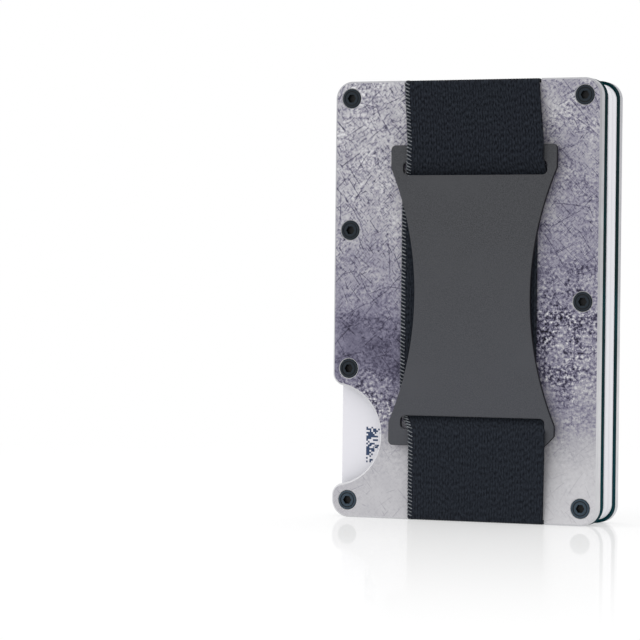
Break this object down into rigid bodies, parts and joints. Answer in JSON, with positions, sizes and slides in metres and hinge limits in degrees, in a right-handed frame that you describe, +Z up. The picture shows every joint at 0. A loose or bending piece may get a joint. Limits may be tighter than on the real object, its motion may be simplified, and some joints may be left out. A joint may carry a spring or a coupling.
{
  "type": "minimalist card wallet",
  "caption": "Slim metal card wallet: two screwed plate halves on elastic bands clamp a card stack, with a thumb notch and an elastic strap carrying a flat cash clip.",
  "frame": {"origin": "middle of the bottom of the bounding box, the wallet standing on its short end", "axes": "+Z up along the cards' length, +X across the width towards the open long side, -Y the side with the clip"},
  "size_m": [0.0554, 0.0172, 0.087],
  "materials": {
    "printed_plate": "scratched print on satin metal",
    "dark_plate": "dark anodised, satin",
    "card": "off-white, satin",
    "band": "woven elastic",
    "strap": "ribbed woven elastic with whip-stitched edge",
    "clip": "matte grey coating",
    "screw": "black oxide, satin"
  },
  "bodies": {
    "back_half": {"back_outer_plate": "printed_plate", "back_inner_plate": "dark_plate", "back_screw_1": "screw", "back_screw_2": "screw", "back_screw_3": "screw", "back_screw_4": "screw", "back_screw_5": "screw", "back_screw_6": "screw", "back_screw_7": "screw", "strap_anchor": "strap", "strap_upper_run": "strap", "strap_lower_run": "strap", "end_band_top": "band", "end_band_bottom": "band", "side_band": "band"},
    "front_half": {"front_outer_plate": "printed_plate", "front_inner_plate": "dark_plate", "front_screw_1": "screw", "front_screw_2": "screw", "front_screw_3": "screw", "front_screw_4": "screw", "front_screw_5": "screw", "front_screw_6": "screw", "front_screw_7": "screw"},
    "card_1": {"card_1": "card"},
    "card_2": {"card_2": "card"},
    "card_3": {"card_3": "card"},
    "card_4": {"card_4": "card"},
    "card_5": {"card_5": "card"},
    "card_6": {"card_6": "card"},
    "card_7": {"card_7": "card"},
    "card_8": {"card_8": "card"},
    "clip": {"cash_clip": "clip", "strap_middle_run": "strap"}
  },
  "joints": [
    {"name": "halves_expand", "type": "slide", "parent": "back_half", "child": "front_half", "axis": [0, 1, 0], "range_m": [0, 0.0031], "stiffness_N_per_m": 1200, "springref_m": -0.0005, "deforming": ["end_band_top", "end_band_bottom", "side_band"]},
    {"name": "card_1_slide", "type": "slide", "parent": "back_half", "child": "card_1", "axis": [1, 0, 0], "range_m": [0, 0.04]},
    {"name": "card_2_slide", "type": "slide", "parent": "back_half", "child": "card_2", "axis": [1, 0, 0], "range_m": [0, 0.04]},
    {"name": "card_3_slide", "type": "slide", "parent": "back_half", "child": "card_3", "axis": [1, 0, 0], "range_m": [0, 0.04]},
    {"name": "card_4_slide", "type": "slide", "parent": "back_half", "child": "card_4", "axis": [1, 0, 0], "range_m": [0, 0.04]},
    {"name": "card_5_slide", "type": "slide", "parent": "back_half", "child": "card_5", "axis": [1, 0, 0], "range_m": [0, 0.04]},
    {"name": "card_6_slide", "type": "slide", "parent": "back_half", "child": "card_6", "axis": [1, 0, 0], "range_m": [0, 0.04]},
    {"name": "card_7_slide", "type": "slide", "parent": "back_half", "child": "card_7", "axis": [1, 0, 0], "range_m": [0, 0.04]},
    {"name": "card_8_slide", "type": "slide", "parent": "back_half", "child": "card_8", "axis": [1, 0, 0], "range_m": [0, 0.04]},
    {"name": "clip_lift", "type": "slide", "parent": "back_half", "child": "clip", "axis": [0, -1, 0], "range_m": [0, 0.003], "stiffness_N_per_m": 500, "deforming": ["strap_upper_run", "strap_lower_run"]}
  ]
}
